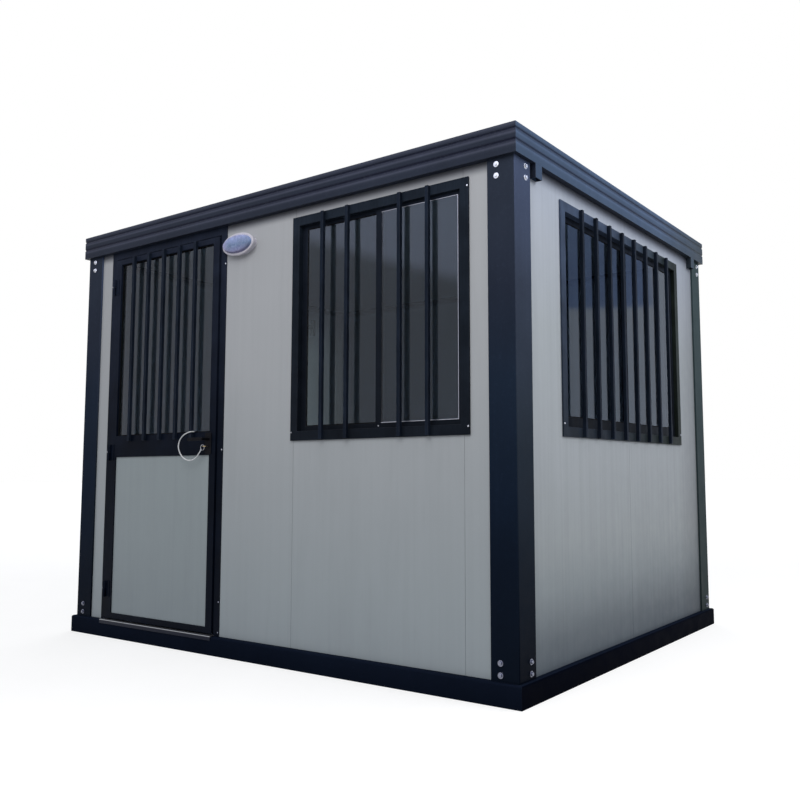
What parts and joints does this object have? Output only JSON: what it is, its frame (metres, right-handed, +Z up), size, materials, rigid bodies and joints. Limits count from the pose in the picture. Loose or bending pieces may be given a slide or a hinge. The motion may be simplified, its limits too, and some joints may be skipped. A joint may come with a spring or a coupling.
{
  "type": "security guard booth",
  "caption": "Prefabricated guard booth: dark bolted steel frame, light grey sandwich panel walls, barred sliding windows and a barred half-glazed door that opens outwards.",
  "frame": {"origin": "centre of the base's footprint on the ground", "axes": "+Z up, the door wall faces -Y, the second window faces +X"},
  "size_m": [3.04, 2.361, 2.35],
  "materials": {
    "frame_steel": "satin polyester paint, dark blue grey",
    "wall_panel": "light grey coated sandwich panel skin",
    "floor": "grey vinyl on board",
    "joist": "dark primer",
    "ceiling": "white coated panel",
    "roof": "light grey coated panel",
    "aluminium": "mill finish",
    "door_paint": "dark paint",
    "door_panel": "light grey coated panel",
    "glass": "clear float glass",
    "handle": "dark nylon",
    "brass": "worn",
    "steel_ring": "bright",
    "cord": "white cord",
    "lamp_base": "off-white plastic",
    "lamp_lens": "ribbed translucent plastic"
  },
  "bodies": {
    "cabin": {"base_rail_front": "frame_steel", "base_rail_right": "frame_steel", "base_rail_back": "frame_steel", "base_rail_left": "frame_steel", "floor_joists": "joist", "floor_panel": "floor", "post_front_left": "frame_steel", "post_front_right": "frame_steel", "post_back_right": "frame_steel", "post_back_left": "frame_steel", "front_wall_left": "wall_panel", "front_wall_middle": "wall_panel", "front_wall_window": "wall_panel", "front_wall_right": "wall_panel", "right_wall_front": "wall_panel", "right_wall_back": "wall_panel", "back_wall_left": "wall_panel", "back_wall_middle": "wall_panel", "back_wall_right": "wall_panel", "left_wall_back": "wall_panel", "left_wall_front": "wall_panel", "fascia_front": "frame_steel", "fascia_right": "frame_steel", "fascia_back": "frame_steel", "fascia_left": "frame_steel", "ceiling_panel": "ceiling", "roof_panel": "roof", "rain_spouts": "frame_steel", "door_jamb_left": "door_paint", "door_jamb_right": "door_paint", "door_head": "door_paint", "door_threshold": "aluminium", "front_window_frame": "door_paint", "front_window_sashes": "door_paint", "front_window_glass": "glass", "front_window_bars": "frame_steel", "side_window_frame": "door_paint", "side_window_sashes": "door_paint", "side_window_glass": "glass", "side_window_bars": "frame_steel", "front_window_latch": "handle", "hinge_jamb_halves": "door_paint", "lamp_base": "lamp_base", "lamp_lens": "lamp_lens"},
    "door": {"door_leaf": "door_paint", "door_panel": "door_panel", "door_glass": "glass", "door_bars": "frame_steel", "hinge_leaf_halves": "door_paint", "door_lock": "handle", "door_key": "brass", "key_ring": "steel_ring", "key_cord": "cord"},
    "handle": {"door_handle": "handle"}
  },
  "joints": [
    {"name": "door_swing", "type": "hinge", "parent": "cabin", "child": "door", "pos_m": [-1.2225, -1.156, 1.1], "axis": [0, 0, -1], "range_deg": [0, 110]},
    {"name": "handle_turn", "type": "hinge", "parent": "door", "child": "handle", "pos_m": [-0.362, -1.145, 1.094], "axis": [0, -1, 0], "range_deg": [0, 40], "stiffness_Nm_per_rad": 1.2, "springref_deg": -14.32}
  ]
}
